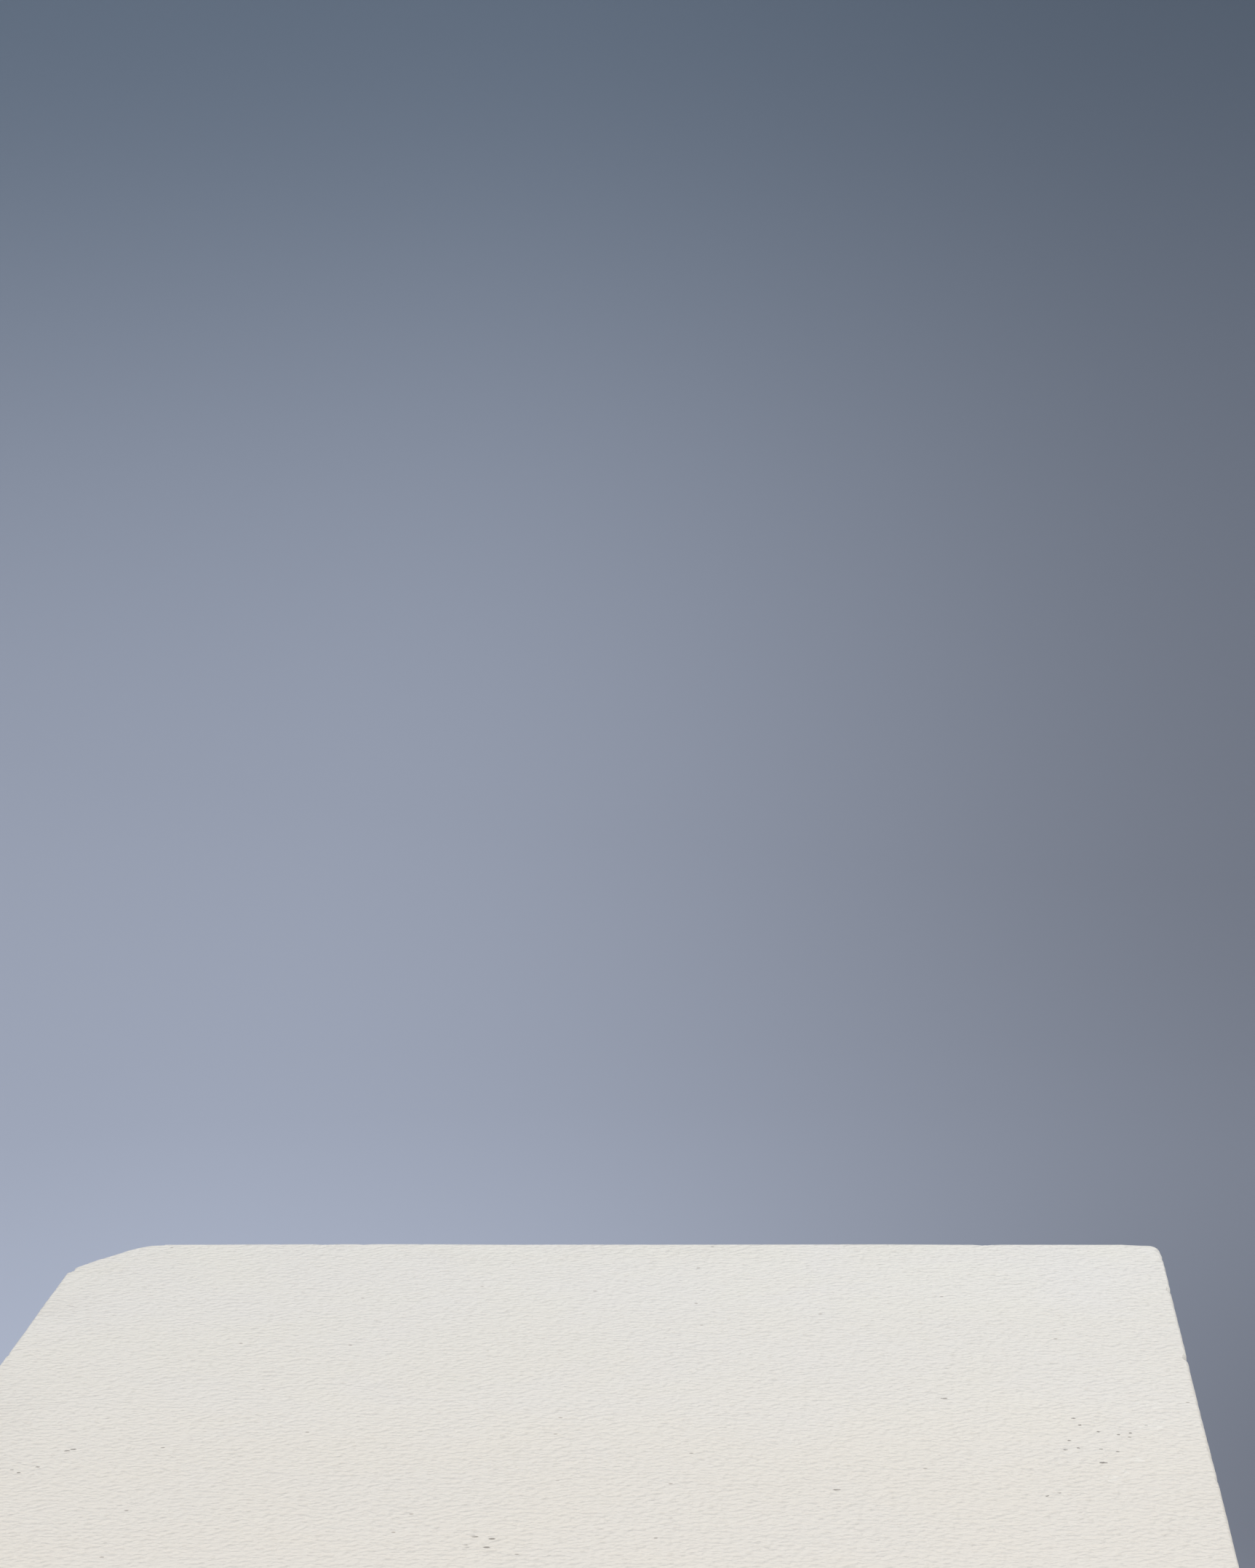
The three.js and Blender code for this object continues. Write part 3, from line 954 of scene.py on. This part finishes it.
def walls():
    plain = wall_levels(WALL_TOP - 10 * MM)
    broken = wall_levels(TOP - KNOCK_DROP)
    nicks = {signs: upright_nicks(signs, 21 + i) for i, signs in enumerate(CORNERS.values())}
    front = [nicks[(-1, -1)], nicks[(1, -1)]]
    back = [nicks[(1, 1)], nicks[(-1, 1)]]
    build_wall("wall_front", "front_panel", front_outline, plain, front, PLY["front"])
    build_wall("wall_back", "back_panel", back_outline, broken, back, PLY["front"])
    build_wall("wall_left", "left_panel", left_outline, broken, [], PLY["side"])
    build_wall("wall_right", "right_panel", right_outline, plain, [], PLY["side"])


# ---- Frame ----


def timber(node, axis, material, arris=TIMBER_ARRIS):
    """A planed timber with eased edges, along the given axis."""
    order = {"x": (1, 2, 0), "y": (2, 0, 1), "z": (0, 1, 2)}[axis]
    low, high = ([corner[i] for i in order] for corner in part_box(node))
    section = rounded(low[:2], high[:2], arris, 3, 8 * MM)
    ends = [(low[2], arris / 2), (low[2] + arris / 2, 0)]
    middle = [(w, 0) for w in np.arange(low[2] + 6 * MM, high[2] - 4 * MM, 12 * MM)]
    levels = ends + middle + [(high[2] - arris / 2, 0), (high[2], arris / 2)]
    rings = []
    for level, in_by in levels:
        ring = inset(section, in_by)
        depth = hills(at_height(ring, level), 30 * MM, 4) * 0.25 * MM
        rings.append(at_height(inset(ring, depth), level))
    points, faces = loft(rings)
    placed = np.empty_like(points)
    placed[:, order] = points
    made = make("timber_" + node, placed, faces, [material])
    flat_normals(made)
    stand_in(made, node, "root")
    return made


def drill(place, radius, low, high, sink=None):
    """A cutter for an upright hole, open to a countersink at its lower end."""
    profile = [(radius, low), (radius, high)]
    if sink:
        profile = [(sink, low), (sink, SINK_RIM), (radius, SINK_RIM + sink - radius), (radius, high)]
    points, faces = loft(turned(profile, 24))
    return make("cutter", points + np.array(place), faces, [])


def screw_hole(node, depth):
    return drill(screw_place(node), SCREW_HOLE, -1 * MM, depth, SCREW_SINK)


def build_frame():
    for side in SIDES:
        axis = "x" if side in ("front", "back") else "y"
        for level in ("top", "middle", "bottom"):
            made = timber(f"{level}_rail_{side}", axis, SOFTWOOD[axis])
            if level == "top":
                carve(made, *[screw_hole(f"top_screw_{side}_{i}", 32 * MM) for i in (1, 2)])
    for side in ("left", "right"):
        timber(f"top_bearer_{side}", "y", SOFTWOOD["y"])
    for name in CORNERS:
        timber(f"corner_post_{name}", "z", SOFTWOOD["z"], 1.5 * MM)
        block = timber(f"foot_block_{name}", "y", BEECH, 1.5 * MM)
        bore = drill(foot_place(name), NUT_HOLE, 0, 90 * MM)
        carve(block, bore, screw_hole(f"block_screw_{name}", 60 * MM))


# ---- Screws ----


def screw_place(node):
    """The middle of a screw's head."""
    low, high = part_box(node)
    return Vector(((low.x + high.x) / 2, (low.y + high.y) / 2, low.z))


def threaded(core, crest, pitch, low, high, count, steps):
    """Rings of a right-hand thread, which fades out at both ends."""
    rings = []
    turns = np.arange(count) / count
    for z in np.arange(low, high, pitch / steps):
        phase = (z / pitch - turns) % 1
        depth = np.clip(1.25 - 2.5 * np.abs(phase - 0.5), 0, 1)
        depth *= np.clip(min(z - low, high - z) / pitch, 0, 1)
        radius = core + (crest - core) * depth
        rings.append(at_height(ways(turns * 2 * math.pi) * radius[:, None], z))
    return rings


def recess_blade(turned_by):
    """One of the two tapered blades of a cross-head driver, as a cutter."""
    points, faces = [], []
    for half_length, half_width, z in ((2.3, 0.55, -0.5), (2.3, 0.55, 0.0), (0.9, 0.3, 2.2)):
        for x, y in ((-1, -1), (1, -1), (1, 1), (-1, 1)):
            at = Matrix.Rotation(turned_by, 3, "Z") @ Vector((x * half_length, y * half_width, z))
            points.append(tuple(at * MM))
    for ring in (0, 4):
        for i in range(4):
            j = (i + 1) % 4
            faces.append(tuple(ring + k for k in (i, j, j + 4, i + 4)))
    faces.append((3, 2, 1, 0))
    faces.append((8, 9, 10, 11))
    return make("cutter", points, faces, [])


def screw(node):
    """A countersunk wood screw, point up."""
    low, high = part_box(node)
    length = high.z - low.z
    count = 24
    head = [(3.5 * MM, 0.25 * MM), (3.9 * MM, 0.45 * MM), (3.9 * MM, 0.7 * MM), (SCREW_SHANK, 2.9 * MM)]
    shank = [(SCREW_SHANK, 3.2 * MM), (SCREW_SHANK, 9 * MM)]
    thread_end = length - 5 * MM
    thread = threaded(SCREW_CORE, SCREW_SHANK, SCREW_PITCH, 9.2 * MM, thread_end, count, 6)
    tip = [(1.2 * MM, length - 4.6 * MM), (0.1 * MM, length - 0.1 * MM)]
    points, faces = loft(turned(head + shank, count) + thread + turned(tip, count))
    made = make("screw_" + node, points, faces, [ZINC], crease=40)
    carve(made, recess_blade(0), recess_blade(math.pi / 2))
    made.data.set_sharp_from_angle(angle=math.radians(40))  # the recess has edges of its own
    made.data.transform(Matrix.Translation(screw_place(node)))
    stand_in(made, node, "root")


def build_screws():
    for side in SIDES:
        for i in (1, 2):
            screw(f"top_screw_{side}_{i}")
    for name in CORNERS:
        screw(f"block_screw_{name}")


# ---- Levelling feet ----


def foot_place(name):
    """Where a foot's axis meets the floor."""
    low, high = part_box(f"foot_pad_{name}")
    return Vector(((low.x + high.x) / 2, (low.y + high.y) / 2, 0))


def hexagon(flats, count, most):
    """A hexagon's outline, cut off where it passes the largest radius."""
    angles = all_round(count)
    radius = flats / 2 / np.cos((angles % (math.pi / 3)) - math.pi / 6)
    return np.minimum(radius, most)[:, None] * ways(angles)


def foot_stem(name):
    """An M10 stem: a flanged end that turns in the pad, a hexagon, and a real thread above it."""
    count = 48
    neck = turned(
        [
            (0.4 * MM, END_BOTTOM), (3.6 * MM, END_BOTTOM), (4 * MM, END_BOTTOM + 0.4 * MM),
            (4 * MM, 6.2 * MM), (3.7 * MM, 6.6 * MM), (3 * MM, 6.7 * MM), (3 * MM, 11.3 * MM),
        ],
        count,
    )
    hexagonal = [
        at_height(hexagon(STEM_FLATS, count, most * MM), z * MM)
        for most, z in ((7.1, 11.4), (9, 12.0), (9, 15.8), (7.1, 16.4))
    ]
    thread = [at_height(circle(STEM_CORE, count), 16.5 * MM)]
    thread += threaded(STEM_CORE, STEM_RADIUS, THREAD_PITCH, 16.6 * MM, STEM_TOP - 1 * MM, count, 8)
    tip = turned([(STEM_CORE - 0.1 * MM, STEM_TOP - 0.8 * MM), (3.2 * MM, STEM_TOP)], count)
    points, faces = loft(neck + hexagonal + thread + tip)
    made = make(f"stem_{name}", points + np.array(foot_place(name)), faces, [ZINC], crease=40)
    stand_in(made, f"foot_stem_{name}", f"stem_{name}")


def foot_pad(name):
    """A moulded pad with a ribbed underside and a collar round the stem's end."""
    outer = PAD_RADIUS
    underside = [
        (0.3 * MM, 0.6 * MM), (6 * MM, 0.6 * MM), (6.4 * MM, 0), (9.5 * MM, 0), (9.9 * MM, 0.6 * MM),
        (12.6 * MM, 0.6 * MM), (13 * MM, 0), (outer - 1.2 * MM, 0), (outer - 0.35 * MM, 0.35 * MM),
    ]
    outside = [
        (outer, 1.2 * MM), (outer, 3.2 * MM), (outer - 0.3 * MM, 3.8 * MM), (outer - 1 * MM, 4.1 * MM),
        (10.6 * MM, 6.5 * MM), (9.6 * MM, 7.1 * MM), (9.1 * MM, 8 * MM),
    ]
    collar = [
        (8.2 * MM, PAD_TOP - 0.6 * MM), (7.6 * MM, PAD_TOP), (3.7 * MM, PAD_TOP),
        (3.4 * MM, PAD_TOP - 0.3 * MM),
    ]
    socket = [(3.4 * MM, 7 * MM), (4.4 * MM, 7 * MM), (4.4 * MM, 2.2 * MM), (0.3 * MM, 2.2 * MM)]
    points, faces = loft(turned(underside + outside + collar + socket, 64))
    made = make(f"pad_{name}", points + np.array(foot_place(name)), faces, [NYLON])
    stand_in(made, f"foot_pad_{name}", f"pad_{name}")


def tee_nut(name):
    """A pressed nut: a threaded barrel, and a flange with four bent-out prongs."""
    count = 48
    low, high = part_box(f"tee_nut_{name}")
    flange = (high.x - low.x) / 2
    angles = all_round(count)
    notch = np.clip(1 - np.abs((angles % (math.pi / 2)) - math.pi / 4) / 0.16, 0, 1)
    plate = (flange - 4.2 * MM * notch)[:, None] * ways(angles)
    bore = threaded(5.35 * MM, 5.05 * MM, THREAD_PITCH, low.z + 0.3 * MM, high.z - 0.3 * MM, count, 6)
    rings = [
        *turned([(5.5 * MM, low.z), (5.9 * MM, low.z), (NUT_BARREL, low.z + 0.3 * MM)], count),
        *turned([(NUT_BARREL, high.z - 2.4 * MM), (6.6 * MM, high.z - 1.8 * MM)], count),
        at_height(plate * 0.985, high.z - 1.8 * MM),
        at_height(plate, high.z - 1.5 * MM),
        at_height(plate, high.z - 0.4 * MM),
        at_height(plate * 0.975, high.z),
        *turned([(NUT_BARREL, high.z)], count),
        *reversed(bore),
    ]
    points, faces = loft(rings, closed=True)
    made = make(f"nut_{name}", points + np.array(foot_place(name)), faces, [ZINC], crease=40)
    stand_in(made, f"tee_nut_{name}", "root")


def build_feet():
    for name in CORNERS:
        foot_stem(name)
        foot_pad(name)
        tee_nut(name)


# ---- Stage ----

FLOOR = -0.0002  # just under the feet, so that the two don't share a plane
FLOOR_RADIUS = 4.2
SWEEP = 3.0  # radius of the curve between the floor and the backdrop
BACKDROP_TOP = 7.0
BACKDROP_GLOW = 0.35  # stands in for the lamps that light a backdrop from out of sight


def backdrop_material():
    """Pale floor, shading off to a blue-grey backdrop, with painted shade: darker higher up and to the
    right, and on the floor to the right of the plinth.
    """
    p = Paintbox("backdrop")
    away = p.math("SQRT", p.add(p.times(p.x, p.x), p.times(p.y, p.y)))
    far = p.between(away, 1.3, 2.5)
    lift = p.between(p.z, 0.0, 1.95)
    # painted shade: darker to the right, most of all low down, where the lamps' light falls off
    painted_shade = p.times(p.between(p.x, -1.0, 1.1), p.add(0.48, p.times(lift, -0.22)), far)
    # painted shadow on the floor to the right of the plinth
    on_floor = p.times(p.between(away, 4.4, 2.2), p.between(p.z, 0.3, 0.0))
    painted_shade = p.add(painted_shade, p.times(p.between(p.x, -0.5, 0.6), on_floor, far, 0.26))
    # painted shade: the backdrop is darker higher up, where the lamps' light falls off
    wall = p.mix(lift, shade(175, 182, 198), shade(111, 124, 140))
    colour = p.mix(far, shade(226, 226, 225), wall)
    colour = p.mix(painted_shade, colour, (0, 0, 0, 1))
    matt = p.node("BsdfDiffuse")
    glow = p.node("Emission")
    p.feed(matt.inputs["Color"], colour)
    p.feed(glow.inputs["Color"], colour)
    p.feed(glow.inputs["Strength"], p.times(far, BACKDROP_GLOW))
    lit = p.node("AddShader", matt.outputs[0], glow.outputs[0]).outputs[0]
    clear = p.node("BsdfTransparent").outputs[0]
    behind = p.node("NewGeometry").outputs["Backfacing"]
    seen = p.node("MixShader", behind, lit, clear)
    p.feed(p.output.inputs["Surface"], seen.outputs[0])
    return p.material


def build_stage():
    """A round floor that sweeps up into a backdrop all round. From behind or below it can't be seen."""
    profile = [(0.01, FLOOR), (1.2, FLOOR), (2.8, FLOOR), (FLOOR_RADIUS, FLOOR)]
    for angle in np.radians(np.linspace(6, 90, 15)):
        profile.append((FLOOR_RADIUS + SWEEP * math.sin(angle), SWEEP * (1 - math.cos(angle))))
    profile.append((FLOOR_RADIUS + SWEEP, BACKDROP_TOP))
    points, faces = loft(turned(profile, 96))
    faces.pop()  # open above
    faces = [tuple(reversed(face)) for face in faces]  # facing in
    stage = make("studio_backdrop", points, faces, [backdrop_material()], crease=60)


def soft_light(name, place, aim, size, power, colour):
    light = bpy.data.lights.new(name, "AREA")
    light.shape = "RECTANGLE"
    light.size, light.size_y = size
    light.energy = power
    light.color = colour
    lamp = bpy.data.objects.new(name, light)
    lamp.location = place
    lamp.rotation_mode = "QUATERNION"
    lamp.rotation_quaternion = (Vector(aim) - Vector(place)).to_track_quat("-Z", "Y")
    lamp.visible_camera = False
    bpy.context.scene.collection.objects.link(lamp)


def build_lights():
    middle = (0, 0, 0.75)
    soft_light("key", (-2.4, -2.0, 2.9), middle, (1.3, 1.3), 74.5, (1.0, 0.968, 0.93))
    soft_light("fill", (2.7, -1.6, 2.3), middle, (1.3, 1.3), 58, (1.0, 0.972, 0.935))
    soft_light("back", (0.6, 3.0, 3.0), middle, (2.2, 1.4), 40, (0.97, 0.98, 1.0))
    world = bpy.data.worlds.new("world")
    world.use_nodes = True
    world.node_tree.nodes["Background"].inputs["Color"].default_value = (0.96, 0.97, 1.0, 1)
    world.node_tree.nodes["Background"].inputs["Strength"].default_value = 0.48
    bpy.context.scene.world = world
    bpy.context.scene.view_settings.view_transform = "Standard"


# ---- Camera ----

EYE = Vector((0.116, -1.2365, 0.4506))  # from the middle of the top face
LOOK_LEFT, LOOK_DOWN, ROLL = 4.21, 9.885, 1.25  # degrees; the camera is held a little askew
LENS = 83.5


def build_camera():
    camera = bpy.data.cameras.new("camera")
    camera.lens = LENS
    camera.clip_end = 60
    view = bpy.data.objects.new("camera", camera)
    swing, dip = math.radians(LOOK_LEFT), math.radians(LOOK_DOWN)
    ahead = Vector(
        (-math.sin(swing) * math.cos(dip), math.cos(swing) * math.cos(dip), -math.sin(dip))
    )
    level = ahead.to_track_quat("-Z", "Y").to_matrix()
    held = level @ Matrix.Rotation(math.radians(-ROLL), 3, "Z")
    view.matrix_world = Matrix.Translation(EYE + Vector((0, 0, TOP))) @ held.to_4x4()
    bpy.context.scene.collection.objects.link(view)
    bpy.context.scene.camera = view


# ---- The whole ----

build_camera()
top_panel()
walls()
build_frame()
build_screws()
build_feet()
build_stage()
build_lights()
